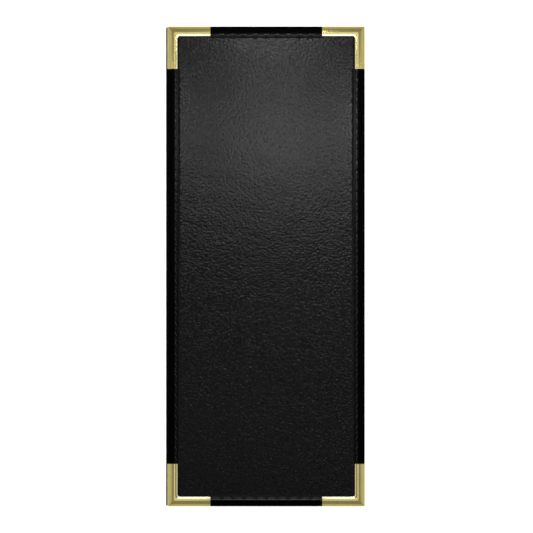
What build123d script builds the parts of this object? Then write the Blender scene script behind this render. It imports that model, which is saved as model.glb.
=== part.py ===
"""A slim two-panel menu cover in black leatherette with gilt metal corners.

Millimetres, +Z up. The closed cover lies on its back: the spine is at -X, the top edge at +Y and the
front face looks up. The origin is under the middle of the closed cover, on the surface it lies on.
"""

from build123d import *
from math import cos, floor, radians, sin
import os

os.makedirs("parts", exist_ok=True)

# Outline of one cover over its metal corners
cover_width = 120.0
cover_height = 292.1
fold_reach = 0.65  # how far the fold of the spine stands out past the metal
metal_proud = 0.1  # how far the metal stands out past the binding's edge

# Thicknesses of the layers of one cover
film = 0.2
card = 0.25
strip = 0.3
binding = 0.4
board = 1.2
leather = 0.5
pad_rise = 0.5  # the padded middle over the leather's thin edge
metal = 0.3

# Heights over the plane halfway between the two covers
pane_z = 0.2
pocket_roof_z = pane_z + film
pocket_depth = 0.5
inner_face_z = pocket_roof_z + pocket_depth
board_inner_z = inner_face_z + binding
board_outer_z = board_inner_z + board
leather_edge_z = board_outer_z + leather
binding_face_z = leather_edge_z + binding
metal_face_z = 3.8
card_z = 0.48
middle_z = metal_face_z  # that plane's height over the table

# Edge binding: how far its two laps reach in from the edge, side by side
lap = {"spine": 6.5, "fore": 6.8, "top": 6.0, "bottom": 6.0}
binding_bend = 0.8
pad_gap = 0.15
pad_round = 0.3
pad_corner = 1.0  # radius of the pad in plan

# Pressed metal corner
leg = 26.0
face_lap = 6.1
back_lap = 4.8
outline_bend = 0.6
shoulder_bend = 0.55
shoulder_turn = 76.0  # degrees of bend from the wall to the face
face_crown = 0.4  # rise from the top of the bend to the flat band of the face
face_flat = 2.1  # flat band along the inner edge of the face
lip = 0.3

# Insert, a standard half-letter-width sheet, and its pocket
card_width = 107.95
card_height = 279.4
card_play = 0.2
pocket_mouth = 12.0  # from the top edge down to the pocket's open end
margin_start = 4.2  # from the metal's edge in to the edge of the film
thumb_radius = 10.0

# Fold of the spine
flap_end = 5.5
strip_height = 291.5

# Stitches
row_inset = {"spine": 5.0, "fore": 5.0, "top": 5.5, "bottom": 5.5}
thread_width = 0.45
thread_rise = 0.15
inner_rise = 0.1
side_pitch = 6.31
side_stitch = 2.6
side_slant = 22.0
end_pitch = 6.79
end_stitch = 4.6

centre_x = fold_reach / 2
half_width = cover_width / 2
half_height = cover_height / 2
cloth_half_width = half_width - metal_proud
cloth_half_height = half_height - metal_proud

outward = {"spine": (-1, 0), "fore": (1, 0), "top": (0, 1), "bottom": (0, -1)}
covers = {"front": 1, "back": -1}


def level(face, z):
    """Height over the table of a plane z away from the middle, on the front or the back."""
    return middle_z + face * z


def save(piece, name):
    """Names a finished piece and writes it."""
    piece.part.label = name
    export_step(piece.part, f"parts/{name}.step")


def edge_plane(side, face, inset):
    """A plane square to one edge: X runs in from the edge and Y away from the middle."""
    nx, ny = outward[side]
    origin = (centre_x + nx * (half_width - inset), ny * (half_height - inset), middle_z)
    return Plane(origin=origin, x_dir=(-nx, -ny, 0), z_dir=(-ny * face, nx * face, 0))


def corner_point(x_side, y_side, x_inset, y_inset):
    """A point in plan, counted in from one corner of the cloth's outline."""
    nx = outward[x_side][0]
    ny = outward[y_side][1]
    return (centre_x + nx * (cloth_half_width - x_inset), ny * (cloth_half_height - y_inset))


def on_bend(centre, radius, degrees):
    """A point on a bend, with 0 degrees on its outer wall and 90 on its face."""
    return (centre[0] - radius * cos(radians(degrees)), centre[1] + radius * sin(radians(degrees)))


def metal_leg(side, x_side, y_side, face):
    """One leg of a pressed corner: a channel that grips the cover's edge, mitred at the corner."""
    shoulder = (shoulder_bend, metal_face_z - shoulder_bend - face_crown)
    tight = shoulder_bend - metal
    face_end = face_lap - face_flat
    wall_z = inner_face_z + outline_bend
    back_centre = (outline_bend, wall_z)
    inner_bend = outline_bend - metal
    under_z = metal_face_z - metal
    with BuildPart() as channel:
        with BuildSketch(edge_plane(side, face, 0)):
            with BuildLine():
                Line((back_lap, inner_face_z), (outline_bend, inner_face_z))
                ThreePointArc(
                    (outline_bend, inner_face_z),
                    on_bend(back_centre, outline_bend, -45),
                    (0, wall_z),
                )
                Line((0, wall_z), (0, shoulder[1]))
                ThreePointArc(
                    (0, shoulder[1]),
                    on_bend(shoulder, shoulder_bend, shoulder_turn / 2),
                    on_bend(shoulder, shoulder_bend, shoulder_turn),
                )
                crown = TangentArc(
                    on_bend(shoulder, shoulder_bend, shoulder_turn),
                    (face_end, metal_face_z),
                    tangent=(sin(radians(shoulder_turn)), cos(radians(shoulder_turn))),
                )
                Polyline(
                    crown @ 1,
                    (face_lap, metal_face_z),
                    (face_lap, binding_face_z),
                    (face_lap - lip, binding_face_z),
                    (face_lap - lip, under_z),
                    (face_end, under_z),
                )
                TangentArc(
                    on_bend(shoulder, tight, shoulder_turn),
                    (face_end, under_z),
                    tangent=(sin(radians(shoulder_turn)), cos(radians(shoulder_turn))),
                )
                ThreePointArc(
                    on_bend(shoulder, tight, shoulder_turn),
                    on_bend(shoulder, tight, shoulder_turn / 2),
                    (metal, shoulder[1]),
                )
                Line((metal, shoulder[1]), (metal, wall_z))
                ThreePointArc(
                    (metal, wall_z),
                    on_bend(back_centre, inner_bend, -45),
                    (outline_bend, inner_face_z + metal),
                )
                Polyline(
                    (outline_bend, inner_face_z + metal),
                    (back_lap, inner_face_z + metal),
                    (back_lap, inner_face_z),
                )
            make_face()
        extrude(amount=half_height, both=True)
        with BuildSketch():
            start = -metal_proud
            reach = leg - metal_proud
            across = face_lap - metal_proud
            if side in ("spine", "fore"):
                plan = [(start, start), (start, reach), (across, reach), (across, across)]
            else:
                plan = [(start, start), (reach, start), (reach, across), (across, across)]
            with BuildLine():
                Polyline([corner_point(x_side, y_side, x, y) for x, y in plan], close=True)
            make_face()
        extrude(amount=2 * middle_z, mode=Mode.INTERSECT)
    return channel.part


def make_corner(cover, face, x_side, y_side):
    """A pressed metal corner: two mitred legs in one piece."""
    upright = metal_leg(x_side, x_side, y_side, face)
    level_leg = metal_leg(y_side, x_side, y_side, face)
    with BuildPart() as corner:
        add(upright)
        add(level_leg)
    save(corner, f"{cover}_corner_{y_side}_{x_side}")
    return corner.part


def make_binding(cover, face, side, corners):
    """A strip of binding folded round one edge, mitred at both ends and pressed in by the metal."""
    tall = binding_face_z - inner_face_z
    if side in ("spine", "fore"):
        ends = [(side, "bottom"), (side, "top")]
    else:
        ends = [("spine", side), ("fore", side)]
    with BuildPart() as strip_part:
        with BuildSketch(edge_plane(side, face, metal_proud)) as section:
            with Locations((lap[side] / 2, inner_face_z + tall / 2)):
                Rectangle(lap[side], tall)
            fillet(section.vertices().group_by(Axis.X)[0], binding_bend)
            with Locations((binding + lap[side] / 2, inner_face_z + tall / 2)):
                Rectangle(lap[side], tall - 2 * binding, mode=Mode.SUBTRACT)
        extrude(amount=half_height, both=True)
        with BuildSketch():
            outer = [corner_point(x, y, 0, 0) for x, y in ends]
            inner = [corner_point(x, y, lap[x], lap[y]) for x, y in reversed(ends)]
            with BuildLine():
                Polyline(outer + inner, close=True)
            make_face()
        extrude(amount=2 * middle_z, mode=Mode.INTERSECT)
        for metal_corner in corners:
            add(metal_corner, mode=Mode.SUBTRACT)
    save(strip_part, f"{cover}_binding_{side}")


def window(play):
    """Width, height and middle of the opening inside the binding, less the play all round."""
    wide = 2 * cloth_half_width - lap["spine"] - lap["fore"] - 2 * play
    high = 2 * cloth_half_height - lap["top"] - lap["bottom"] - 2 * play
    x = centre_x + (lap["spine"] - lap["fore"]) / 2
    y = (lap["bottom"] - lap["top"]) / 2
    return wide, high, x, y


def make_board(cover, face):
    """The stiff board in the middle of one cover."""
    with BuildPart() as core:
        with BuildSketch(Plane.XY.offset(level(face, board_inner_z))):
            with Locations((centre_x, 0)):
                Rectangle(2 * (cloth_half_width - binding), 2 * (cloth_half_height - binding))
        extrude(amount=face * board)
    save(core, f"{cover}_board")


def make_leather(cover, face):
    """The face leatherette: a thin edge under the binding and a raised padded middle."""
    wide, high, x, y = window(pad_gap)
    with BuildPart() as skin:
        with BuildSketch(Plane.XY.offset(level(face, board_outer_z))):
            with Locations((centre_x, 0)):
                Rectangle(2 * (cloth_half_width - binding), 2 * (cloth_half_height - binding))
        extrude(amount=face * leather)
        with BuildSketch(Plane.XY.offset(level(face, leather_edge_z))):
            with Locations((x, y)):
                RectangleRounded(wide, high, pad_corner)
        extrude(amount=face * pad_rise)
        top = skin.faces().sort_by(Axis.Z)[-1 if face > 0 else 0]
        fillet(top.edges(), pad_round)
    save(skin, f"{cover}_leather")


def make_lining(cover, face):
    """The lining panel, let in flush between the binding's inner laps."""
    wide, high, x, y = window(0)
    with BuildPart() as panel:
        with BuildSketch(Plane.XY.offset(level(face, inner_face_z))):
            with Locations((x, y)):
                Rectangle(wide, high)
        extrude(amount=face * binding)
    save(panel, f"{cover}_lining")


def make_pocket(cover, face):
    """A clear film pocket, open at the top, with sewn margins and a thumb notch."""
    left = centre_x - card_width / 2 - card_play
    right = centre_x + card_width / 2 + card_play
    base = -card_height / 2 - card_play
    mouth = half_height - pocket_mouth
    sewn_left = centre_x - half_width + margin_start
    sewn_right = centre_x + half_width - margin_start
    sewn_base = -half_height + margin_start
    corner_start = (Align.MIN, Align.MIN)
    with BuildPart() as pocket:
        # Walls and pane
        with BuildSketch(Plane.XY.offset(level(face, pane_z))):
            with Locations((left - film, base - film)):
                Rectangle(right - left + 2 * film, mouth - base + film, align=corner_start)
        extrude(amount=face * (inner_face_z - pane_z))
        # Margins at the fore edge and along the bottom, which lie on the binding
        with BuildSketch(Plane.XY.offset(level(face, inner_face_z - film))):
            with Locations((left - film, sewn_base)):
                Rectangle(sewn_right - left + film, base - sewn_base, align=corner_start)
            with Locations((right, sewn_base)):
                Rectangle(sewn_right - right, mouth - sewn_base, align=corner_start)
        extrude(amount=face * film)
        # Margin at the spine, which lies on the flap of the fold
        with BuildSketch(Plane.XY.offset(level(face, pocket_roof_z))):
            with Locations((sewn_left, sewn_base)):
                Rectangle(left - sewn_left, mouth - sewn_base, align=corner_start)
        extrude(amount=face * film)
        # Space for the card
        with BuildSketch(Plane.XY.offset(level(face, pocket_roof_z))):
            with Locations((left, base)):
                Rectangle(right - left, cover_height, align=corner_start)
        extrude(amount=face * pocket_depth, mode=Mode.SUBTRACT)
        # Thumb notch
        with BuildSketch(Plane.XY.offset(level(face, pane_z))):
            with Locations((centre_x, mouth)):
                Circle(thumb_radius)
        extrude(amount=face * film, mode=Mode.SUBTRACT)
    save(pocket, f"{cover}_pocket")


def make_card(cover, face):
    """The menu card in its pocket."""
    with BuildPart() as sheet:
        with BuildSketch(Plane.XY.offset(level(face, card_z))):
            with Locations((centre_x, 0)):
                Rectangle(card_width, card_height)
        extrude(amount=face * card)
    save(sheet, f"{cover}_menu_card")


def row_of(length, pitch):
    """How many stitches fit between the metal corners along one edge."""
    return floor((length - 2 * leg) / pitch)


def make_stitching(cover, face):
    """Thread on both faces of one cover, edge by edge, between the metal corners."""
    along = row_of(cover_height, side_pitch)
    across = row_of(cover_width, end_pitch)
    with BuildPart() as thread:
        for side, (nx, ny) in outward.items():
            x = centre_x + nx * (half_width - row_inset[side])
            y = ny * (half_height - row_inset[side])
            seat = inner_face_z - film
            if side == "spine":
                seat = pocket_roof_z
            if side == "top":
                seat = inner_face_z
            rows = ((binding_face_z, thread_rise, side_slant), (seat, -inner_rise, 0))
            for start, rise, slant in rows:
                with BuildSketch(Plane.XY.offset(level(face, start))):
                    with Locations((x, y)):
                        if side in ("spine", "fore"):
                            with GridLocations(side_pitch, side_pitch, 1, along):
                                SlotOverall(side_stitch, thread_width, rotation=90 - nx * slant)
                        else:
                            with GridLocations(end_pitch, end_pitch, across, 1):
                                SlotOverall(end_stitch, thread_width)
                extrude(amount=face * rise)
    save(thread, f"{cover}_stitching")


def make_fold():
    """The strip that joins both covers: two flaps and the round fold between them."""
    outer = inner_face_z
    inner = inner_face_z - strip
    fold_x = -half_width - fold_reach + outer
    end_x = -half_width + flap_end
    with BuildPart() as fold:
        with BuildSketch(Plane(origin=(centre_x, 0, middle_z), x_dir=(1, 0, 0), z_dir=(0, -1, 0))):
            with BuildLine():
                Line((end_x, outer), (fold_x, outer))
                ThreePointArc((fold_x, outer), (fold_x - outer, 0), (fold_x, -outer))
                Polyline((fold_x, -outer), (end_x, -outer), (end_x, -inner), (fold_x, -inner))
                ThreePointArc((fold_x, -inner), (fold_x - inner, 0), (fold_x, inner))
                Polyline((fold_x, inner), (end_x, inner), (end_x, outer))
            make_face()
        extrude(amount=strip_height / 2, both=True)
    save(fold, "hinge_strip")


for cover, face in covers.items():
    corners = [
        make_corner(cover, face, x_side, y_side)
        for y_side in ("top", "bottom")
        for x_side in ("spine", "fore")
    ]
    for side in outward:
        make_binding(cover, face, side, corners)
    make_board(cover, face)
    make_leather(cover, face)
    make_lining(cover, face)
    make_pocket(cover, face)
    make_card(cover, face)
    make_stitching(cover, face)

make_fold()
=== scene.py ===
from math import cos, exp, hypot, pi, radians, sin

import bmesh
import bpy
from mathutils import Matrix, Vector


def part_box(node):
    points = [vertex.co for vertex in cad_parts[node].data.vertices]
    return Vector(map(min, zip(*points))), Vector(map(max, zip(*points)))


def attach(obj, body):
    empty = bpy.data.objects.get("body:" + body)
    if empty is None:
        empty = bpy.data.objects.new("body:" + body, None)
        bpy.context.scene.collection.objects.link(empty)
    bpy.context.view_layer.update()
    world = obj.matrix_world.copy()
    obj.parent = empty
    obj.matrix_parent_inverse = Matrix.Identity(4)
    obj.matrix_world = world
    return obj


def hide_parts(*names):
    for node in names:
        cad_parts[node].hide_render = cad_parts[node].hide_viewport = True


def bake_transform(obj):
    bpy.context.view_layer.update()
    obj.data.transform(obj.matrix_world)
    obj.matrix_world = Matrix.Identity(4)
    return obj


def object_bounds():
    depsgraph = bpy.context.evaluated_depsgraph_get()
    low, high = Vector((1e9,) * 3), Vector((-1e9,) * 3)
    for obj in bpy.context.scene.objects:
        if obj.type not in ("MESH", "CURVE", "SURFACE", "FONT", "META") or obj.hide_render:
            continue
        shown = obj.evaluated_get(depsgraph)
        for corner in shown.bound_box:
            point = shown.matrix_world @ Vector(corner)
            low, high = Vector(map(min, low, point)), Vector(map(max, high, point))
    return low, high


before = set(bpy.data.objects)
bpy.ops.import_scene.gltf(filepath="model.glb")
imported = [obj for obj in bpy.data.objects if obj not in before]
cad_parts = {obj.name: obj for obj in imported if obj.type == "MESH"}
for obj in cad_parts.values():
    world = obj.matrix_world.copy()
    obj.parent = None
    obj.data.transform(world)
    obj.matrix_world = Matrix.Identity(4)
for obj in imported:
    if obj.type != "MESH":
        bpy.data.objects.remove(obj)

bl_info = {
    "name": "Menu cover",
    "version": (1, 0, 0),
    "blender": (4, 5, 0),
    "location": "3D View > Sidebar > Menu cover",
    "description": "Dresses a folding leatherette menu cover with gilt corners, piece by piece",
    "category": "Add Mesh",
}

# Places read from the frame, in metres
CAD_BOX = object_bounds()
MM = 0.001
MIDDLE_Z = (CAD_BOX[0].z + CAD_BOX[1].z) / 2
METAL_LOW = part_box("front_corner_bottom_spine")[0]
METAL_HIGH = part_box("front_corner_top_fore")[1]
CENTRE = (METAL_LOW + METAL_HIGH) / 2
HALF_WIDTH = (METAL_HIGH.x - METAL_LOW.x) / 2
HALF_HEIGHT = (METAL_HIGH.y - METAL_LOW.y) / 2
METAL_FACE = METAL_HIGH.z - MIDDLE_Z
TAPE_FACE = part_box("front_binding_fore")[1].z - MIDDLE_Z
INNER_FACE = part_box("front_lining")[0].z - MIDDLE_Z
BOARD_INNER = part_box("front_board")[0].z - MIDDLE_Z
BOARD_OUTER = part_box("front_board")[1].z - MIDDLE_Z
PAD_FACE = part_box("front_leather")[1].z - MIDDLE_Z
LINING_LOW, LINING_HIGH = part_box("front_lining")
CARD_LOW, CARD_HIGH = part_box("front_menu_card")
STRIP_LOW, STRIP_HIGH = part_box("hinge_strip")
LEG = METAL_HIGH.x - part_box("front_corner_top_fore")[0].x
TAPE_EDGE = METAL_HIGH.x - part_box("front_binding_fore")[1].x
LAP = {
    "spine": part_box("front_lining")[0].x - METAL_LOW.x,
    "fore": METAL_HIGH.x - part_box("front_lining")[1].x,
    "top": METAL_HIGH.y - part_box("front_lining")[1].y,
    "bottom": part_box("front_lining")[0].y - METAL_LOW.y,
}

OUTWARD = {"spine": (-1, 0), "fore": (1, 0), "top": (0, 1), "bottom": (0, -1)}
FACES = {"front": 1, "back": -1}

# Stitch rows: inset from the metal's edge, pitch, stitch length and slant of each side
ROW = {"spine": 5.0 * MM, "fore": 5.0 * MM, "top": 5.5 * MM, "bottom": 5.5 * MM}
PITCH = {"spine": 6.31 * MM, "fore": 6.31 * MM, "top": 6.79 * MM, "bottom": 6.79 * MM}
STITCH = {"spine": 2.9 * MM, "fore": 2.9 * MM, "top": 4.6 * MM, "bottom": 4.6 * MM}
SLANT = {"spine": -22.0, "fore": 22.0, "top": 0.0, "bottom": 0.0}

# The step from the binding's flat to the groove of the seam, as an inset from the metal's edge
GROOVE_START = 4.15 * MM
GROOVE_SLOPE = 0.6 * MM
PRESSED_TAPE = 0.16 * MM
LAMP_HEIGHT = 0.30


class CoverSizes(bpy.types.PropertyGroup):
    """Sizes of the finish that can be changed without touching the frame."""

    crown: bpy.props.FloatProperty(
        name="Crown", description="Rise of the padding in the middle of a cover",
        default=0.12 * MM, unit="LENGTH", precision=5)
    wave: bpy.props.FloatProperty(
        name="Wave", description="Height of the slow unevenness of the padding",
        default=0.02 * MM, unit="LENGTH", precision=5)
    scallop: bpy.props.FloatProperty(
        name="Scallop", description="How far the stitches draw the padding's edge to and fro",
        default=0.42 * MM, unit="LENGTH", precision=5)
    pucker: bpy.props.FloatProperty(
        name="Pucker", description="Depth of the dimple at a needle hole",
        default=0.20 * MM, unit="LENGTH", precision=5)
    groove: bpy.props.FloatProperty(
        name="Groove", description="Depth of the groove that the stitches lie in",
        default=0.30 * MM, unit="LENGTH", precision=5)
    thread: bpy.props.FloatProperty(
        name="Thread", description="Radius of the sewing thread",
        default=0.21 * MM, unit="LENGTH", precision=5)
    grain: bpy.props.FloatProperty(
        name="Grain", description="Width of one pebble of the leather grain",
        default=1.3 * MM, unit="LENGTH", precision=5)
    metal: bpy.props.FloatProperty(
        name="Metal", description="Thickness of the pressed corners",
        default=0.28 * MM, unit="LENGTH", precision=5)
    view_height: bpy.props.FloatProperty(
        name="View height", description="Height of the camera over the front face",
        default=1.0, unit="LENGTH")


class CoverColours(bpy.types.PropertyGroup):
    """Base colours of the finishes."""

    leather: bpy.props.FloatVectorProperty(
        name="Leatherette", description="Colour of the padded faces",
        default=(0.0004, 0.0004, 0.00043), size=3, subtype="COLOR")
    tape: bpy.props.FloatVectorProperty(
        name="Binding", description="Colour of the edge binding",
        default=(0.0002, 0.0002, 0.00022), size=3, subtype="COLOR")
    gilt: bpy.props.FloatVectorProperty(
        name="Gilt", description="Colour of the metal corners",
        default=(0.88, 0.735, 0.225), size=3, subtype="COLOR")
    thread: bpy.props.FloatVectorProperty(
        name="Thread", description="Colour of the sewing thread",
        default=(0.010, 0.010, 0.0105), size=3, subtype="COLOR")
    lining: bpy.props.FloatVectorProperty(
        name="Lining", description="Colour of the lining cloth",
        default=(0.016, 0.016, 0.018), size=3, subtype="COLOR")
    card: bpy.props.FloatVectorProperty(
        name="Card", description="Colour of the menu card",
        default=(0.72, 0.69, 0.62), size=3, subtype="COLOR")
    floor: bpy.props.FloatVectorProperty(
        name="Floor", description="Colour of the floor",
        default=(0.86, 0.86, 0.86), size=3, subtype="COLOR")


def sizes():
    return bpy.context.scene.menu_cover_sizes


def colours():
    return bpy.context.scene.menu_cover_colours


# Mesh helpers


def place(side, face, inset, along, height):
    """A point near one edge: inset from the metal's edge, along it, and away from the middle."""
    nx, ny = OUTWARD[side]
    x = CENTRE.x + (nx * (HALF_WIDTH - inset) if nx else along)
    y = CENTRE.y + (ny * (HALF_HEIGHT - inset) if ny else along)
    return (x, y, MIDDLE_Z + face * height)


def make_piece(name, points, faces, material, sharp=35.0):
    """A closed mesh object with outward normals, smooth but for its sharp edges."""
    mesh = bpy.data.meshes.new(name)
    mesh.from_pydata(points, [], faces)
    work = bmesh.new()
    work.from_mesh(mesh)
    bmesh.ops.remove_doubles(work, verts=work.verts, dist=1e-7)
    bmesh.ops.recalc_face_normals(work, faces=work.faces)
    work.to_mesh(mesh)
    work.free()
    mesh.shade_smooth()
    mesh.set_sharp_from_angle(angle=radians(sharp))
    mesh.materials.append(material)
    piece = bpy.data.objects.new(name, mesh)
    bpy.context.scene.collection.objects.link(piece)
    return piece


def ring_faces(first, count, rings, capped=True):
    """Faces of a tube of rings, each of count points, whose first point has index first."""
    faces = []
    for i in range(rings - 1):
        a = first + i * count
        for j in range(count):
            k = (j + 1) % count
            faces.append((a + j, a + k, a + count + k, a + count + j))
    if capped:
        faces.append(tuple(range(first + count - 1, first - 1, -1)))
        last = first + (rings - 1) * count
        faces.append(tuple(range(last, last + count)))
    return faces


def loft(name, rings, material, sharp=35.0):
    """A closed piece through a row of rings."""
    points = [p for ring in rings for p in ring]
    return make_piece(name, points, ring_faces(0, len(rings[0]), len(rings)), material, sharp)


def finish_piece(piece, body, slot, *nodes):
    """Rides a piece on its body and hides the nodes that it stands for; the slot is not used."""
    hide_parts(*nodes)
    if body:
        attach(piece, body)
    return piece


def grid_faces(wide, tall, first=0, turned=False):
    """Faces of a grid of points, wide by tall, whose first point has index first."""
    faces = []
    for j in range(tall - 1):
        for i in range(wide - 1):
            a = first + j * wide + i
            quad = (a, a + 1, a + wide + 1, a + wide)
            faces.append(quad[::-1] if turned else quad)
    return faces


def grid_rim(wide, tall):
    """Indices of the points round a grid's rim, in order."""
    rim = list(range(wide))
    rim += [j * wide + wide - 1 for j in range(1, tall)]
    rim += [(tall - 1) * wide + i for i in range(wide - 2, -1, -1)]
    rim += [j * wide for j in range(tall - 2, 0, -1)]
    return rim


def half_length(side):
    """Half the length of the metal's outline along one side."""
    return HALF_HEIGHT if side in ("spine", "fore") else HALF_WIDTH


def ease(t):
    """Smooth step from 0 to 1."""
    t = min(1.0, max(0.0, t))
    return t * t * (3 - 2 * t)


def bend(centre, radius, start, end, steps):
    """Points of an arc, with 0 degrees on the outer wall and 90 on the face."""
    found = []
    for i in range(steps + 1):
        a = radians(start + (end - start) * i / steps)
        found.append((centre[0] - radius * cos(a), centre[1] + radius * sin(a)))
    return found


def inward(line, depth):
    """An open section line moved to its inner side by depth, point by point."""
    moved = []
    for i, (u, h) in enumerate(line):
        a = line[max(i - 1, 0)]
        b = line[min(i + 1, len(line) - 1)]
        du, dh = b[0] - a[0], b[1] - a[1]
        size = hypot(du, dh)
        moved.append((u + dh / size * depth, h - du / size * depth))
    return moved


def stitch_centres(side):
    """Places of the stitches along one side, between the metal corners."""
    half = half_length(side)
    count = int(2 * (half - LEG) / PITCH[side])
    return [(i - (count - 1) / 2) * PITCH[side] for i in range(count)]


def stitch_phase(side, along):
    """1 at the middle of a stitch and -1 halfway between two, fading out under the metal."""
    centres = stitch_centres(side)
    shift = along - centres[0]
    fade = 1 - ease((abs(along) - abs(centres[0]) - PITCH[side] / 2) / PITCH[side])
    return cos(2 * pi * shift / PITCH[side]) * fade


def along_edge(side, steps_per_pitch):
    """Evenly spaced places along one side, with the stitch pitch as the measure."""
    half = half_length(side)
    count = int(2 * half / PITCH[side] * steps_per_pitch)
    return [-half + 2 * half * i / count for i in range(count + 1)]


# Node helpers


def put(tree, kind, inputs=(), **settings):
    """Adds a node, sets its properties and then its inputs, by link or by value."""
    made = tree.nodes.new(kind)
    for key, value in settings.items():
        setattr(made, key, value)
    for key, value in dict(inputs).items():
        if isinstance(value, bpy.types.NodeSocket):
            tree.links.new(value, made.inputs[key])
        else:
            made.inputs[key].default_value = value
    return made


def maths(tree, operation, a, b=0.0):
    return put(tree, "ShaderNodeMath", {0: a, 1: b}, operation=operation).outputs[0]


def ramp(tree, value, start, end, low, high, kind="LINEAR"):
    """Maps start to end onto low to high, and stays at either beyond them."""
    return put(
        tree, "ShaderNodeMapRange", {0: value, 1: start, 2: end, 3: low, 4: high},
        interpolation_type=kind,
    ).outputs[0]


def spread(tree, value, low, high):
    """Maps 0 to 1 onto low to high."""
    return ramp(tree, value, 0.0, 1.0, low, high)


def object_axes(tree):
    """The piece's own coordinates, one by one."""
    at = put(tree, "ShaderNodeTexCoord").outputs["Object"]
    return put(tree, "ShaderNodeSeparateXYZ", {0: at}).outputs


def new_group(name, inputs, outputs):
    """An empty shader node group with named sockets: (tree, input node, output node)."""
    tree = bpy.data.node_groups.new(name, "ShaderNodeTree")
    for label, kind, value in inputs:
        made = tree.interface.new_socket(label, in_out="INPUT", socket_type=kind)
        if value is not None:
            made.default_value = value
    for label, kind in outputs:
        tree.interface.new_socket(label, in_out="OUTPUT", socket_type=kind)
    return tree, tree.nodes.new("NodeGroupInput"), tree.nodes.new("NodeGroupOutput")


def grain_group():
    """Pebbled leather grain: its height, and slow and fine variations of shade."""
    tree, come, out = new_group(
        "Leather grain",
        [
            ("Vector", "NodeSocketVector", None),
            ("Pebble width", "NodeSocketFloat", 0.001),
        ],
        [
            ("Height", "NodeSocketFloat"),
            ("Crease", "NodeSocketFloat"),
            ("Shade", "NodeSocketFloat"),
        ],
    )
    size = maths(tree, "DIVIDE", 1.0, come.outputs["Pebble width"])
    at = put(
        tree, "ShaderNodeVectorMath", {0: come.outputs["Vector"], "Scale": size}, operation="SCALE"
    ).outputs[0]
    warp = put(tree, "ShaderNodeTexNoise", {"Vector": at, "Scale": 0.9, "Detail": 2.0})
    moved = put(
        tree,
        "ShaderNodeVectorMath",
        {0: warp.outputs["Color"], 1: (0.9, 0.9, 0.9), 2: at},
        operation="MULTIPLY_ADD",
    ).outputs[0]
    cells = put(
        tree,
        "ShaderNodeTexVoronoi",
        {"Vector": moved, "Scale": 1.0, "Smoothness": 0.3, "Randomness": 0.95},
        feature="SMOOTH_F1",
    )
    dome = spread(tree, cells.outputs["Distance"], 1.0, 0.0)
    fine = put(tree, "ShaderNodeTexNoise", {"Vector": at, "Scale": 3.1, "Detail": 3.0})
    mixed = maths(tree, "MULTIPLY", fine.outputs["Fac"], 0.07)
    height = maths(tree, "ADD", maths(tree, "MULTIPLY", dome, 0.93), mixed)
    slow = put(
        tree,
        "ShaderNodeTexNoise",
        {"Vector": come.outputs["Vector"], "Scale": 22.0, "Detail": 4.0, "Roughness": 0.6},
    )
    tree.links.new(height, out.inputs["Height"])
    tree.links.new(spread(tree, cells.outputs["Distance"], 0.0, 1.0), out.inputs["Crease"])
    tree.links.new(slow.outputs["Fac"], out.inputs["Shade"])
    return tree


def inset_group():
    """How far a point lies in from the metal's outline, seen from above."""
    tree, come, out = new_group(
        "Edge inset",
        [("Vector", "NodeSocketVector", None)],
        [("Inset", "NodeSocketFloat")],
    )
    axes = put(tree, "ShaderNodeSeparateXYZ", {0: come.outputs["Vector"]})
    x = maths(tree, "ABSOLUTE", maths(tree, "SUBTRACT", axes.outputs["X"], CENTRE.x))
    y = maths(tree, "ABSOLUTE", maths(tree, "SUBTRACT", axes.outputs["Y"], CENTRE.y))
    from_x = maths(tree, "SUBTRACT", HALF_WIDTH, x)
    from_y = maths(tree, "SUBTRACT", HALF_HEIGHT, y)
    tree.links.new(maths(tree, "MINIMUM", from_x, from_y), out.inputs["Inset"])
    return tree


def rub_group():
    """Fine rubbing marks: a height and a mask that change over the surface."""
    tree, come, out = new_group(
        "Rubbing marks",
        [
            ("Vector", "NodeSocketVector", None),
            ("Mark width", "NodeSocketFloat", 0.0002),
            ("Length", "NodeSocketFloat", 12.0),
        ],
        [("Height", "NodeSocketFloat"), ("Mask", "NodeSocketFloat")],
    )
    size = maths(tree, "DIVIDE", 1.0, come.outputs["Mark width"])
    slim = maths(tree, "DIVIDE", size, come.outputs["Length"])
    heights = []
    for pair in ((size, slim), (slim, size)):
        scale = put(tree, "ShaderNodeCombineXYZ", {0: pair[0], 1: pair[1], 2: size}).outputs[0]
        at = put(
            tree, "ShaderNodeVectorMath", {0: come.outputs["Vector"], 1: scale},
            operation="MULTIPLY",
        ).outputs[0]
        made = put(tree, "ShaderNodeTexNoise", {"Vector": at, "Scale": 1.0, "Detail": 2.0})
        heights.append(made.outputs["Fac"])
    both = maths(tree, "MULTIPLY", heights[0], heights[1])
    patches = put(
        tree, "ShaderNodeTexNoise",
        {"Vector": come.outputs["Vector"], "Scale": 190.0, "Detail": 3.0},
    )
    mask = maths(tree, "MULTIPLY", both, patches.outputs["Fac"])
    tree.links.new(both, out.inputs["Height"])
    tree.links.new(spread(tree, maths(tree, "MULTIPLY", mask, 6.0), 0.0, 1.0), out.inputs["Mask"])
    return tree


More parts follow.
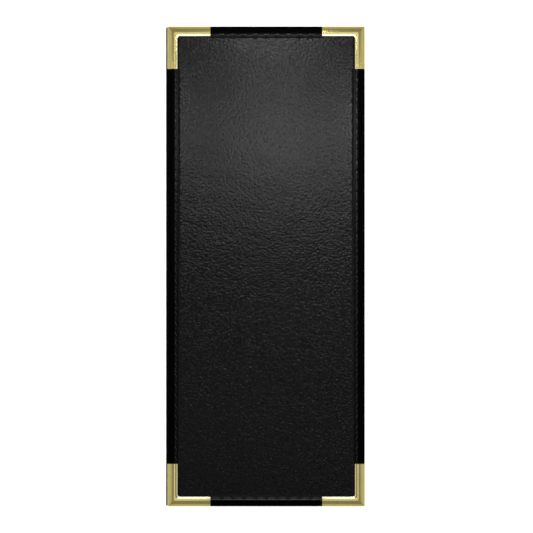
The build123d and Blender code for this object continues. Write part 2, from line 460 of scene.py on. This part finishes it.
def weave_group():
    """Plain weave: the height of crossing threads, and a shade that varies by thread."""
    tree, come, out = new_group(
        "Plain weave",
        [("Vector", "NodeSocketVector", None), ("Thread width", "NodeSocketFloat", 0.0004)],
        [("Height", "NodeSocketFloat"), ("Shade", "NodeSocketFloat")],
    )
    size = maths(tree, "DIVIDE", pi, come.outputs["Thread width"])
    axes = put(tree, "ShaderNodeSeparateXYZ", {0: come.outputs["Vector"]})
    warp = maths(tree, "SINE", maths(tree, "MULTIPLY", axes.outputs["X"], size))
    weft = maths(tree, "SINE", maths(tree, "MULTIPLY", axes.outputs["Y"], size))
    over = ramp(tree, maths(tree, "MULTIPLY", warp, weft), -1.0, 1.0, 0.0, 1.0)
    slub = put(
        tree, "ShaderNodeTexNoise",
        {"Vector": come.outputs["Vector"], "Scale": 420.0, "Detail": 4.0},
    )
    tree.links.new(over, out.inputs["Height"])
    tree.links.new(slub.outputs["Fac"], out.inputs["Shade"])
    return tree


def group_in(tree, name, maker, **values):
    """Places a shared group in a material, fed with the piece's own coordinates."""
    shared = bpy.data.node_groups.get(name) or maker()
    made = tree.nodes.new("ShaderNodeGroup")
    made.node_tree = shared
    at = put(tree, "ShaderNodeTexCoord").outputs["Object"]
    tree.links.new(at, made.inputs["Vector"])
    for key, value in values.items():
        made.inputs[key.replace("_", " ")].default_value = value
    return made


def new_material(name):
    """A material with a Principled shader on its output: (material, tree, shader)."""
    made = bpy.data.materials.new(name)
    made.use_nodes = True
    tree = made.node_tree
    return made, tree, tree.nodes["Principled BSDF"]


def mix_colour(tree, factor, low, high):
    """A colour between two, by a factor."""
    made = put(tree, "ShaderNodeMix", {0: factor}, data_type="RGBA")
    made.inputs[6].default_value = (*low, 1.0)
    made.inputs[7].default_value = (*high, 1.0)
    return made.outputs[2]


def set_bump(tree, shader, height, distance, strength=1.0):
    """Feeds the shader's normal with a bump of the given height."""
    made = put(
        tree, "ShaderNodeBump", {"Height": height, "Distance": distance, "Strength": strength}
    )
    tree.links.new(made.outputs["Normal"], shader.inputs["Normal"])


def tinted(colour, share):
    return tuple(c * share for c in colour)


def grained(name, colour, pebble_width, roughness, level):
    """A material with leather grain and its shades: (material, tree, shader, grain)."""
    made, tree, shader = new_material(name)
    grain = group_in(tree, "Leather grain", grain_group, Pebble_width=pebble_width)
    tone = mix_colour(tree, grain.outputs["Shade"], tinted(colour, 0.6), tinted(colour, 1.5))
    tree.links.new(tone, shader.inputs["Base Color"])
    rough = spread(tree, grain.outputs["Crease"], *roughness)
    tree.links.new(rough, shader.inputs["Roughness"])
    shader.inputs["Specular IOR Level"].default_value = level
    return made, tree, shader, grain


def rubbed(name, mark_width, length, tones, roughness, depth):
    """A material with fine rubbing marks in two tones: (material, tree, shader, tone)."""
    made, tree, shader = new_material(name)
    marks = group_in(tree, "Rubbing marks", rub_group, Mark_width=mark_width, Length=length)
    tone = mix_colour(tree, marks.outputs["Mask"], *tones)
    tree.links.new(tone, shader.inputs["Base Color"])
    tree.links.new(spread(tree, marks.outputs["Mask"], *roughness), shader.inputs["Roughness"])
    set_bump(tree, shader, marks.outputs["Height"], depth)
    return made, tree, shader, tone


# Materials


def leather_material():
    """Black grained leatherette, shinier and more deeply grained towards its foot."""
    made, tree, shader, grain = grained(
        "Leatherette", colours().leather, sizes().grain, (0.12, 0.32), 0.147
    )
    along = object_axes(tree)["Y"]
    shine = ramp(tree, along, 0.03, -0.08, 1.0, 0.55)
    rough = maths(tree, "MULTIPLY", spread(tree, grain.outputs["Crease"], 0.12, 0.32), shine)
    tree.links.new(rough, shader.inputs["Roughness"])
    pressed = ramp(tree, along, 0.07, -0.10, 0.45, 1.9)
    height = maths(tree, "MULTIPLY", grain.outputs["Height"], pressed)
    set_bump(tree, shader, height, 0.2 * MM)
    return made


def fold_material():
    """The same leatherette on the fold, where handling has made it matt."""
    made, tree, shader, grain = grained(
        "Worn leatherette", colours().leather, 0.6 * MM, (0.6, 0.8), 0.015
    )
    set_bump(tree, shader, grain.outputs["Height"], 0.04 * MM)
    return made


def tape_material():
    """Matt black binding with a finer grain, shinier in the seam and most at its foot."""
    made, tree, shader, grain = grained(
        "Binding", colours().tape, 0.45 * MM, (0.50, 0.66), 0.01
    )
    inset = group_in(tree, "Edge inset", inset_group).outputs["Inset"]
    seam = ramp(tree, inset, 3.95 * MM, 4.25 * MM, 0.0, 0.11)
    foot = ramp(tree, object_axes(tree)["Y"], -0.137, -0.139, 1.0, 6.0)
    tree.links.new(maths(tree, "MULTIPLY", seam, foot), shader.inputs["Coat Weight"])
    shader.inputs["Coat Roughness"].default_value = 0.28
    set_bump(tree, shader, grain.outputs["Height"], 0.03 * MM)
    return made


def gilt_material():
    """Pale gilt pressed metal, polished and finely rubbed, with a painted highlight: a paler
    colour along the inner rim of its legs.
    """
    base = colours().gilt
    made, tree, shader, tone = rubbed(
        "Gilt metal", 0.12 * MM, 9.0, (base, tinted(base, 0.82)), (0.06, 0.11), 0.004 * MM
    )
    axes = object_axes(tree)
    # Painted highlight: a mask along the inner rim of the legs, where the colour turns paler as if
    # a highlight fell there.
    rim = 1.0
    for axis, middle, half, start, end in (
        ("X", CENTRE.x, HALF_WIDTH, 5.0 * MM, 6.2 * MM),
        ("Y", CENTRE.y, HALF_HEIGHT, 4.6 * MM, 5.8 * MM),
    ):
        away = maths(tree, "ABSOLUTE", maths(tree, "SUBTRACT", axes[axis], middle))
        inner = ramp(tree, away, half - start, half - end, 0.0, 1.0)
        rim = maths(tree, "MULTIPLY", inner, rim)
    # The paler tone of the painted highlight, mixed into the gilt by the rim mask.
    pale = (*(0.45 + 0.5 * channel for channel in base), 1.0)
    tone = put(tree, "ShaderNodeMix", {0: rim, 6: tone, 7: pale}, data_type="RGBA").outputs[2]
    tree.links.new(tone, shader.inputs["Base Color"])
    shader.inputs["Metallic"].default_value = 1.0
    shader.inputs["Coat Weight"].default_value = 1.0
    shader.inputs["Coat IOR"].default_value = 1.7
    shader.inputs["Coat Roughness"].default_value = 0.08
    return made


def thread_material():
    """Waxed black sewing thread."""
    base = colours().thread
    made, tree, shader, tone = rubbed(
        "Thread", 0.05 * MM, 5.0, (tinted(base, 0.7), tinted(base, 1.5)), (0.26, 0.4), 0.02 * MM
    )
    shader.inputs["Specular IOR Level"].default_value = 0.25
    return made


def lining_material():
    """Close-woven black lining cloth."""
    made, tree, shader = new_material("Lining cloth")
    weave = group_in(tree, "Plain weave", weave_group, Thread_width=0.42 * MM)
    base = colours().lining
    tone = mix_colour(tree, weave.outputs["Shade"], tinted(base, 0.6), tinted(base, 1.7))
    tree.links.new(tone, shader.inputs["Base Color"])
    tree.links.new(spread(tree, weave.outputs["Shade"], 0.6, 0.8), shader.inputs["Roughness"])
    shader.inputs["Sheen Weight"].default_value = 0.15
    set_bump(tree, shader, weave.outputs["Height"], 0.08 * MM)
    return made


def card_material():
    """Plain cream card with a faint fibre."""
    base = colours().card
    tones = (tinted(base, 1.05), tinted(base, 0.9))
    return rubbed("Menu card", 0.5 * MM, 4.0, tones, (0.55, 0.7), 0.02 * MM)[0]


def board_material():
    """Grey millboard, flecked with fibres."""
    tones = ((0.34, 0.30, 0.25), (0.20, 0.17, 0.14))
    return rubbed("Millboard", 0.3 * MM, 3.0, tones, (0.75, 0.92), 0.05 * MM)[0]


def film_material():
    """Clear glossy pocket film that shows what lies under it."""
    made, tree, shader = new_material("Clear film")
    shader.inputs["Base Color"].default_value = (0.10, 0.11, 0.115, 1.0)
    marks = group_in(tree, "Rubbing marks", rub_group, Mark_width=0.6 * MM, Length=14.0)
    tree.links.new(spread(tree, marks.outputs["Mask"], 0.05, 0.16), shader.inputs["Roughness"])
    set_bump(tree, shader, marks.outputs["Height"], 0.05 * MM, 0.4)
    clear = put(tree, "ShaderNodeBsdfTransparent")
    edge = put(tree, "ShaderNodeFresnel", {"IOR": 1.5}).outputs[0]
    share = spread(tree, edge, 0.07, 0.85)
    mixed = put(
        tree, "ShaderNodeMixShader",
        {0: share, 1: clear.outputs[0], 2: shader.outputs[0]},
    )
    tree.links.new(mixed.outputs[0], tree.nodes["Material Output"].inputs["Surface"])
    return made


def floor_material():
    """A pale floor that shows white in the picture and in gloss, and keeps soft shadows."""
    made, tree, shader = new_material("Pale floor")
    shader.inputs["Base Color"].default_value = (*colours().floor, 1.0)
    shader.inputs["Roughness"].default_value = 0.9
    shader.inputs["Specular IOR Level"].default_value = 0.0
    path = put(tree, "ShaderNodeLightPath")
    seen = maths(tree, "MAXIMUM", path.outputs["Is Camera Ray"], path.outputs["Is Glossy Ray"])
    seen = maths(tree, "MAXIMUM", seen, path.outputs["Is Transmission Ray"])
    glow = put(
        tree, "ShaderNodeEmission", {"Strength": maths(tree, "MULTIPLY", seen, 0.70)}
    )
    both = put(tree, "ShaderNodeAddShader", {0: shader.outputs[0], 1: glow.outputs[0]})
    tree.links.new(both.outputs[0], tree.nodes["Material Output"].inputs["Surface"])
    return made


MAKERS = {
    "Leatherette": leather_material,
    "Worn leatherette": fold_material,
    "Binding": tape_material,
    "Gilt metal": gilt_material,
    "Thread": thread_material,
    "Lining cloth": lining_material,
    "Menu card": card_material,
    "Millboard": board_material,
    "Clear film": film_material,
    "Pale floor": floor_material,
}


def material(name):
    return bpy.data.materials.get(name) or MAKERS[name]()


def dress_node(node, name):
    """Gives a carried-over node its finish."""
    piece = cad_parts[node]
    piece.data.materials.clear()
    piece.data.materials.append(material(name))


# Pieces


def fine_lines(low, high, edge_step, edge_width, step):
    """Grid lines from low to high, closer together near both ends."""
    found = []
    value = low
    while value < low + edge_width:
        found.append(value)
        value += edge_step
    inner = high - low - 2 * (value - low)
    count = max(1, round(inner / step))
    found += [value + inner * i / count for i in range(count + 1)]
    found += [high - (v - low) for v in reversed(found[: len(found) - count - 1])]
    return found


def pad_foot(side, phase):
    """Inset of the padding's foot, drawn to and fro by the stitches."""
    drawn_in = 0.25 * MM if side in ("spine", "fore") else 0.05 * MM
    return LAP[side] - drawn_in + sizes().scallop * 0.5 * phase


def pad_height(x, y, face_name):
    """Height of the leather's outer side over the middle, at a place counted from the centre."""
    setting = sizes()
    insets = {
        "spine": x + HALF_WIDTH,
        "fore": HALF_WIDTH - x,
        "top": HALF_HEIGHT - y,
        "bottom": y + HALF_HEIGHT,
    }
    rise = 1.0
    for side, inset in insets.items():
        along = y if side in ("spine", "fore") else x
        half = half_length(side)
        beside_metal = ease((abs(along) - half + LEG + 0.3 * MM) / (0.6 * MM))
        phase = stitch_phase(side, along)
        phase += (1 - phase) * beside_metal
        foot = pad_foot(side, phase) - 0.45 * MM * beside_metal
        wide = (1.4 - 0.7 * phase) * MM
        rise *= ease((inset - foot) / wide)
    a, b = x / HALF_WIDTH, y / HALF_HEIGHT
    crown = setting.crown * (1 - a * a) * (1 - b * b)
    turn = 1 if face_name == "front" else -1
    wave = 0.0
    for across, up, shift in ((210, 90, 0.4), (-150, 260, 1.9), (330, -190, 3.1), (90, 420, 5.0)):
        wave += sin(across * x * turn + up * y + shift)
    top = PAD_FACE + crown + setting.wave * 0.5 * wave
    low = BOARD_OUTER + 0.5 * MM
    return low + (top - low) * rise


def add_leather(cover, face):
    """The padded face: its outer side and the wall down to the board."""
    edge = HALF_WIDTH - TAPE_EDGE - 0.4 * MM
    end = HALF_HEIGHT - TAPE_EDGE - 0.4 * MM
    xs = fine_lines(-edge, edge, 0.42 * MM, 9.5 * MM, 1.1 * MM)
    ys = fine_lines(-end, end, 0.42 * MM, 9.5 * MM, 0.9 * MM)
    points = []
    for y in ys:
        for x in xs:
            height = pad_height(x, y, cover)
            points.append((CENTRE.x + x, CENTRE.y + y, MIDDLE_Z + face * height))
    faces = grid_faces(len(xs), len(ys))
    rim = grid_rim(len(xs), len(ys))
    first = len(points)
    points += [(points[i][0], points[i][1], MIDDLE_Z + face * BOARD_OUTER) for i in rim]
    count = len(rim)
    for k in range(count):
        n = (k + 1) % count
        faces.append((rim[k], rim[n], first + n, first + k))
    faces.append(tuple(range(first, first + count)))
    piece = make_piece(f"{cover}_leather_face", points, faces, material("Leatherette"), 50.0)
    finish_piece(piece, f"{cover}_cover", "leatherette", f"{cover}_leather")


def tape_line(side, along, squeeze):
    """The outer line of the folded binding, from its inner lap's end round to its outer one."""
    setting = sizes()
    edge = TAPE_EDGE
    fold = 0.8 * MM
    lap = LAP[side]
    press = 0.24 * MM * squeeze
    phase = stitch_phase(side, along) * (1 - squeeze)
    low = INNER_FACE + press
    line = [(lap, low), (lap * 0.6, low), (edge + 1.6 * fold, low)]
    line += bend((edge + fold, INNER_FACE + fold), fold - press, -90, 0, 5)
    top = TAPE_FACE - press
    line += bend((edge + fold, TAPE_FACE - fold), fold - press, 0, 90, 6)
    row = 4.9 * MM
    end = pad_foot(side, phase) + 0.12 * MM
    marks = [1.7 * MM, 2.6 * MM, 3.3 * MM]
    marks += [GROOVE_START + GROOVE_SLOPE * share for share in (0.0, 0.25, 0.5, 0.75, 1.0)]
    last = marks[-1]
    marks += [last + (end - last) * share for share in (0.25, 0.5, 0.75, 1.0)]
    for inset in marks:
        roll = 0.14 * MM * sin(pi * min(1.0, inset / (4.4 * MM))) * (1 - squeeze)
        sink = setting.groove * ease((inset - GROOVE_START) / GROOVE_SLOPE) * (1 - squeeze)
        near = exp(-(((inset - row) / (0.6 * MM)) ** 2))
        dimple = setting.pucker * near * (0.5 - 0.5 * phase) * (1 - squeeze)
        line.append((inset, top + roll - sink - dimple))
    return line


def add_tape(cover, face, side):
    """One strip of binding, pressed thin and mitred where the metal grips it."""
    half = half_length(side)
    full_thickness = 0.32 * MM
    rings = []
    for along in along_edge(side, 7):
        if abs(along) > half - 7.5 * MM:
            continue
        squeeze = ease((abs(along) - half + LEG + 0.3 * MM) / (0.6 * MM))
        outer = tape_line(side, along, squeeze)
        depth = full_thickness if squeeze < 0.5 else PRESSED_TAPE
        ring = outer + inward(outer, depth)[::-1]
        rings.append([place(side, face, u, along, h) for u, h in ring])
    for sign in (-1, 1):
        outer = tape_line(side, sign * half, 1.0)
        ring = outer + inward(outer, PRESSED_TAPE)[::-1]
        made = [place(side, face, u, sign * (half - max(u, TAPE_EDGE)), h) for u, h in ring]
        rings.insert(0 if sign < 0 else len(rings), made)
    piece = loft(f"{cover}_binding_{side}_tape", rings, material("Binding"), 60.0)
    finish_piece(piece, f"{cover}_cover", "binding", f"{cover}_binding_{side}")


def metal_line():
    """The outer line of the pressed channel, from its inner lap round to the turned-down lip."""
    back_lap = 4.8 * MM
    outline = 0.6 * MM
    shoulder = 0.55 * MM
    rise = 0.4 * MM
    turned = 76.0
    line = [(back_lap, INNER_FACE), (back_lap * 0.5, INNER_FACE)]
    line += bend((outline, INNER_FACE + outline), outline, -90, 0, 6)
    centre = (shoulder, METAL_FACE - shoulder - rise)
    line += bend(centre, shoulder, 0, turned, 9)
    crest = 4.15 * MM
    start = line[-1]
    span = crest - start[0]
    lift = METAL_FACE - start[1]
    for i in range(1, 11):
        t = i / 10
        line.append((start[0] + span * t, start[1] + lift * (2 * t - t * t)))
    face_end = 6.0 * MM
    for i in range(1, 7):
        t = i / 6
        fall = 0.20 * MM * t * t
        line.append((crest + (face_end - crest) * t, METAL_FACE - fall))
    line += [(6.08 * MM, METAL_FACE - 0.29 * MM), (6.1 * MM, METAL_FACE - 0.40 * MM)]
    return line


def add_corner(cover, face, x_side, y_side):
    """A pressed corner whose channel runs from one leg's end, round the corner, to the other's."""
    nx = OUTWARD[x_side][0]
    ny = OUTWARD[y_side][1]
    ends = (0.0, 0.5, 1.6, 5.0, 10.0, 14.0, 17.2)
    rings = []

    def ring_at(plan):
        outer = metal_line()
        ring = outer + inward(outer, sizes().metal)[::-1]
        made = []
        for u, h in ring:
            x_in, y_in = plan(u)
            made.append((
                CENTRE.x + nx * (HALF_WIDTH - x_in),
                CENTRE.y + ny * (HALF_HEIGHT - y_in),
                MIDDLE_Z + face * h,
            ))
        rings.append(made)

    for back in ends:
        ring_at(lambda u, back=back: (u, LEG - back * MM))
    steps = 6
    for i in range(steps + 1):
        angle = pi / 2 * i / steps

        def corner_plan(u, angle=angle):
            round_off = 0.45 * MM + 0.14 * u
            centre = u + round_off
            return centre - round_off * cos(angle), centre - round_off * sin(angle)

        ring_at(corner_plan)
    for back in reversed(ends):
        ring_at(lambda u, back=back: (LEG - back * MM, u))
    name = f"{cover}_corner_{y_side}_{x_side}"
    piece = loft(f"{name}_metal", rings, material("Gilt metal"), 42.0)
    finish_piece(piece, f"{cover}_cover", "gilt_metal", name)


def thread_run(points, faces, line, radius, up):
    """Adds one closed run of twisted thread along a line of points."""
    sides = 10
    first = len(points)
    for i, spot in enumerate(line):
        ahead = line[min(i + 1, len(line) - 1)] - line[max(i - 1, 0)]
        ahead.normalize()
        across = ahead.cross(up).normalized()
        top = across.cross(ahead).normalized()
        end = min(i, len(line) - 1 - i)
        slim = 0.55 if end == 0 else 1.0
        for k in range(sides):
            a = 2 * pi * k / sides
            twist = 1 + 0.13 * cos(3 * a - 1.15 * i)
            reach = radius * slim * twist
            points.append(spot + across * (reach * cos(a)) + top * (reach * sin(a)))
    faces += ring_faces(first, sides, len(line))


def add_stitching(cover, face):
    """All the stitches of one cover, on its outside and its inside."""
    setting = sizes()
    points, faces = [], []
    up = Vector((0, 0, face))
    inner_seat = {
        "spine": INNER_FACE - 0.5 * MM, "fore": INNER_FACE - 0.2 * MM,
        "top": INNER_FACE, "bottom": INNER_FACE - 0.2 * MM,
    }
    steps = 14
    for side in OUTWARD:
        for centre in stitch_centres(side):
            lean = radians(SLANT[side])
            for outside in (True, False):
                tilt = lean if outside else 0.0
                line = []
                for i in range(steps + 1):
                    t = i / steps - 0.5
                    reach = STITCH[side] * t
                    lift = cos(pi * t) ** 0.5 if abs(t) < 0.499 else 0.0
                    inset = ROW[side] - reach * sin(tilt) * OUTWARD[side][0]
                    if outside and not tilt:
                        inset += 0.32 * MM * (1 - 8 * t * t)
                    if outside:
                        height = TAPE_FACE - setting.groove - setting.thread * 1.5
                        height += setting.thread * 2.2 * lift
                    else:
                        height = inner_seat[side] + 0.12 * MM - 0.13 * MM * lift
                    spot = place(side, face, inset, centre + reach * cos(tilt), height)
                    line.append(Vector(spot))
                radius = setting.thread if outside else 0.09 * MM
                thread_run(points, faces, line, radius, up if outside else -up)
    piece = make_piece(f"{cover}_stitching_thread", points, faces, material("Thread"), 60.0)
    finish_piece(piece, f"{cover}_cover", "thread", f"{cover}_stitching")


def sheet_mesh(name, low, high, base, thick, face, material_name, ripple):
    """A thin sheet with rounded edges between two corners, its outer side slightly uneven."""
    xs = fine_lines(low.x, high.x, 0.15 * MM, 0.5 * MM, 3.0 * MM)
    ys = fine_lines(low.y, high.y, 0.15 * MM, 0.5 * MM, 3.0 * MM)
    layer = len(xs) * len(ys)
    points = []
    for level in (0, 1):
        for y in ys:
            for x in xs:
                edge = min(x - low.x, high.x - x, y - low.y, high.y - y)
                soft = ease(edge / (0.35 * MM))
                uneven = ripple * sin(70 * x + 31 * y) * cos(43 * y - 18 * x) * soft
                inner = base + thick * 0.3 * (1 - soft) + uneven
                outer = base + thick * (1 - 0.3 * (1 - soft)) + uneven
                height = outer if level else inner
                points.append((x, y, MIDDLE_Z + face * height))
    faces = grid_faces(len(xs), len(ys), turned=True)
    faces += grid_faces(len(xs), len(ys), layer)
    rim = grid_rim(len(xs), len(ys))
    for k, a in enumerate(rim):
        b = rim[(k + 1) % len(rim)]
        faces.append((a, b, b + layer, a + layer))
    return make_piece(name, points, faces, material(material_name), 50.0)


def add_lining(cover, face):
    """The lining cloth, stretched over the inner side of the board."""
    thick = BOARD_INNER - INNER_FACE
    piece = sheet_mesh(
        f"{cover}_lining_cloth", LINING_LOW, LINING_HIGH, INNER_FACE, thick, face,
        "Lining cloth", 0.0,
    )
    finish_piece(piece, f"{cover}_cover", "lining", f"{cover}_lining")


def add_card(cover, face):
    """The menu card in a cover's pocket."""
    thick = CARD_HIGH.z - CARD_LOW.z
    base = CARD_LOW.z - MIDDLE_Z
    piece = sheet_mesh(
        f"{cover}_menu_card_sheet", CARD_LOW, CARD_HIGH, base, thick, face,
        "Menu card", 0.02 * MM,
    )
    finish_piece(piece, f"{cover}_card", "card", f"{cover}_menu_card")


def add_hinge():
    """The strip of leatherette that folds round the spine and joins both covers."""
    outer = STRIP_HIGH.z - MIDDLE_Z
    thick = 0.3 * MM
    fold_x = STRIP_LOW.x - 0.45 * MM + outer
    end_x = STRIP_HIGH.x
    line = [(end_x, outer), ((end_x + fold_x) / 2, outer), (fold_x + 0.8 * MM, outer)]
    for i in range(17):
        a = pi / 2 + pi * i / 16
        line.append((fold_x + outer * cos(a), outer * sin(a)))
    line += [(x, -h) for x, h in reversed(line[:3])]
    skin = inward(line, -thick)
    rings = []
    count = 90
    for i in range(count + 1):
        y = STRIP_LOW.y + (STRIP_HIGH.y - STRIP_LOW.y) * i / count
        uneven = 0.03 * MM * sin(i * 1.7) * sin(i * 0.45)
        ring = []
        for x, h in line + skin[::-1]:
            near = ease((fold_x + outer * 0.2 - x) / outer)
            ring.append((x + uneven * near, y, MIDDLE_Z + h))
        rings.append(ring)
    piece = loft("hinge_strip_leather", rings, material("Worn leatherette"), 50.0)
    finish_piece(piece, None, "leatherette", "hinge_strip")
    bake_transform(piece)


# Stage


def area_light(name, place_at, aim_at, wide, high, radiance):
    """A soft box of a given radiance, aimed at a point."""
    data = bpy.data.lights.new(name, "AREA")
    data.shape = "RECTANGLE"
    data.size = wide
    data.size_y = high
    data.energy = radiance * pi * wide * high
    lamp = bpy.data.objects.new(name, data)
    lamp.location = place_at
    away = Vector(place_at) - Vector(aim_at)
    lamp.rotation_mode = "QUATERNION"
    lamp.rotation_quaternion = away.to_track_quat("Z", "Y")
    lamp.visible_camera = False
    bpy.context.scene.collection.objects.link(lamp)


def lamp_above(name, x, y, wide, high, radiance):
    """A soft box at lamp height that looks straight down."""
    area_light(name, (x, y, CAD_BOX[1].z + LAMP_HEIGHT), (x, y, 0), wide, high, radiance)


def add_world():
    """A studio that is pale near the floor and dim overhead."""
    world = bpy.data.worlds.new("Studio")
    world.use_nodes = True
    bpy.context.scene.world = world
    tree = world.node_tree
    tree.nodes.clear()
    way = put(tree, "ShaderNodeTexCoord").outputs["Generated"]
    axes = put(tree, "ShaderNodeSeparateXYZ", {0: way})
    side = maths(tree, "ABSOLUTE", axes.outputs["X"])
    end = maths(tree, "ABSOLUTE", axes.outputs["Y"])
    low_down = maths(tree, "SUBTRACT", 1.0, axes.outputs["Z"])
    glow = 0.26
    for value, low, high, gain in (
        (side, 0.16, 0.32, 0.32),
        (end, 0.40, 0.50, 0.35),
        (low_down, 0.30, 0.85, 0.12),
        (low_down, 0.87, 0.93, 0.34),
    ):
        glow = maths(tree, "ADD", ramp(tree, value, low, high, 0.0, gain, "SMOOTHSTEP"), glow)
    sky = put(tree, "ShaderNodeBackground", {"Color": (0.98, 0.99, 1.0, 1.0), "Strength": glow})
    out = put(tree, "ShaderNodeOutputWorld")
    tree.links.new(sky.outputs[0], out.inputs["Surface"])


def add_camera():
    """Looks straight down on the front face, framed as in the photograph."""
    picture = 533
    pixel = 0.6076 * MM
    object_middle = (265.73, 266.4)
    height = sizes().view_height
    data = bpy.data.cameras.new("Camera")
    data.sensor_width = 36.0
    data.lens = data.sensor_width * height / (picture * pixel)
    camera = bpy.data.objects.new("Camera", data)
    middle = (CAD_BOX[0] + CAD_BOX[1]) / 2
    camera.location = (
        middle.x + (picture / 2 - object_middle[0]) * pixel,
        middle.y - (picture / 2 - object_middle[1]) * pixel,
        CAD_BOX[1].z + height,
    )
    bpy.context.scene.collection.objects.link(camera)
    bpy.context.scene.camera = camera


def add_floor():
    """A wide floor under the cover."""
    reach = 6.0
    mesh = bpy.data.meshes.new("Floor")
    corners = [(-reach, -reach, 0), (reach, -reach, 0), (reach, reach, 0), (-reach, reach, 0)]
    mesh.from_pydata(corners, [], [(0, 1, 2, 3)])
    mesh.materials.append(material("Pale floor"))
    floor = bpy.data.objects.new("Floor", mesh)
    bpy.context.scene.collection.objects.link(floor)


# Operators


class MENUCOVER_OT_stage(bpy.types.Operator):
    """Adds the floor, the studio lights and the camera"""

    bl_idname = "menucover.stage"
    bl_label = "Stage"

    def execute(self, context):
        context.scene.view_settings.view_transform = "Standard"
        add_floor()
        add_world()
        add_camera()
        lamp_above("Top bar", 0.006, 0.214, 0.056, 0.056, 18.6)
        lamp_above("Upper bar", 0.006, 0.103, 0.060, 0.084, 8.7)
        lamp_above("Left wing", -0.107, 0.112, 0.044, 0.06, 14.4)
        lamp_above("Right wing", 0.107, 0.112, 0.044, 0.06, 19.2)
        lamp_above("Middle bar", 0.012, 0.038, 0.060, 0.014, 7.2)
        lamp_above("Thin bar", 0.012, 0.006, 0.060, 0.008, 7.2)
        lamp_above("Left strip", -0.17, -0.02, 0.06, 0.16, 0.8)
        lamp_above("Right strip", 0.17, -0.02, 0.06, 0.16, 2.0)
        for x in (-0.060, 0.060):
            for end in (-1, 1):
                lamp_above("Corner light", x, end * 0.093, 0.030, 0.062, 2.4)
                lamp_above("Dim light", x, end * 0.168, 0.04, 0.064, 0.6)
        area_light("Key box", (-0.8, 1.8, 1.2), (0.0, 0.1, 0.0), 0.6, 0.4, 6.0)
        return {"FINISHED"}


class MENUCOVER_OT_boards(bpy.types.Operator):
    """Gives the stiff boards their millboard finish"""

    bl_idname = "menucover.boards"
    bl_label = "Boards"

    def execute(self, context):
        for cover in FACES:
            dress_node(f"{cover}_board", "Millboard")
        return {"FINISHED"}


class MENUCOVER_OT_leathers(bpy.types.Operator):
    """Adds the padded leatherette faces"""

    bl_idname = "menucover.leathers"
    bl_label = "Leatherette faces"

    def execute(self, context):
        for cover, face in FACES.items():
            add_leather(cover, face)
        return {"FINISHED"}


class MENUCOVER_OT_bindings(bpy.types.Operator):
    """Adds the binding folded round the four edges of each cover"""

    bl_idname = "menucover.bindings"
    bl_label = "Edge bindings"

    def execute(self, context):
        for cover, face in FACES.items():
            for side in OUTWARD:
                add_tape(cover, face, side)
        return {"FINISHED"}


class MENUCOVER_OT_corners(bpy.types.Operator):
    """Adds the pressed gilt corners"""

    bl_idname = "menucover.corners"
    bl_label = "Metal corners"

    def execute(self, context):
        for cover, face in FACES.items():
            for y_side in ("top", "bottom"):
                for x_side in ("spine", "fore"):
                    add_corner(cover, face, x_side, y_side)
        return {"FINISHED"}


class MENUCOVER_OT_stitching(bpy.types.Operator):
    """Adds the rows of sewing thread"""

    bl_idname = "menucover.stitching"
    bl_label = "Stitching"

    def execute(self, context):
        for cover, face in FACES.items():
            add_stitching(cover, face)
        return {"FINISHED"}


class MENUCOVER_OT_linings(bpy.types.Operator):
    """Adds the lining cloth inside each cover"""

    bl_idname = "menucover.linings"
    bl_label = "Linings"

    def execute(self, context):
        for cover, face in FACES.items():
            add_lining(cover, face)
        return {"FINISHED"}


class MENUCOVER_OT_pockets(bpy.types.Operator):
    """Gives the clear pockets their film finish"""

    bl_idname = "menucover.pockets"
    bl_label = "Clear pockets"

    def execute(self, context):
        for cover in FACES:
            dress_node(f"{cover}_pocket", "Clear film")
        return {"FINISHED"}


class MENUCOVER_OT_cards(bpy.types.Operator):
    """Adds the menu cards in their pockets"""

    bl_idname = "menucover.cards"
    bl_label = "Menu cards"

    def execute(self, context):
        for cover, face in FACES.items():
            add_card(cover, face)
        return {"FINISHED"}


class MENUCOVER_OT_hinge(bpy.types.Operator):
    """Adds the folded strip that joins the covers"""

    bl_idname = "menucover.hinge"
    bl_label = "Hinge strip"

    def execute(self, context):
        add_hinge()
        return {"FINISHED"}


STEPS = (
    MENUCOVER_OT_stage,
    MENUCOVER_OT_boards,
    MENUCOVER_OT_leathers,
    MENUCOVER_OT_bindings,
    MENUCOVER_OT_corners,
    MENUCOVER_OT_stitching,
    MENUCOVER_OT_linings,
    MENUCOVER_OT_pockets,
    MENUCOVER_OT_cards,
    MENUCOVER_OT_hinge,
)


class MENUCOVER_PT_panel(bpy.types.Panel):
    """Lists the steps that dress the menu cover, with their sizes and colours"""

    bl_label = "Menu cover"
    bl_idname = "MENUCOVER_PT_panel"
    bl_space_type = "VIEW_3D"
    bl_region_type = "UI"
    bl_category = "Menu cover"

    def draw(self, context):
        for step in STEPS:
            self.layout.operator(step.bl_idname)
        for group in (context.scene.menu_cover_sizes, context.scene.menu_cover_colours):
            for key in group.__annotations__:
                self.layout.prop(group, key)


CLASSES = (CoverSizes, CoverColours, *STEPS, MENUCOVER_PT_panel)


def register():
    for item in CLASSES:
        bpy.utils.register_class(item)
    bpy.types.Scene.menu_cover_sizes = bpy.props.PointerProperty(type=CoverSizes)
    bpy.types.Scene.menu_cover_colours = bpy.props.PointerProperty(type=CoverColours)


def unregister():
    del bpy.types.Scene.menu_cover_colours
    del bpy.types.Scene.menu_cover_sizes
    for item in reversed(CLASSES):
        bpy.utils.unregister_class(item)


def main():
    register()
    for step in STEPS:
        group, name = step.bl_idname.split(".")
        getattr(getattr(bpy.ops, group), name)()


if __name__ == "__main__":
    main()
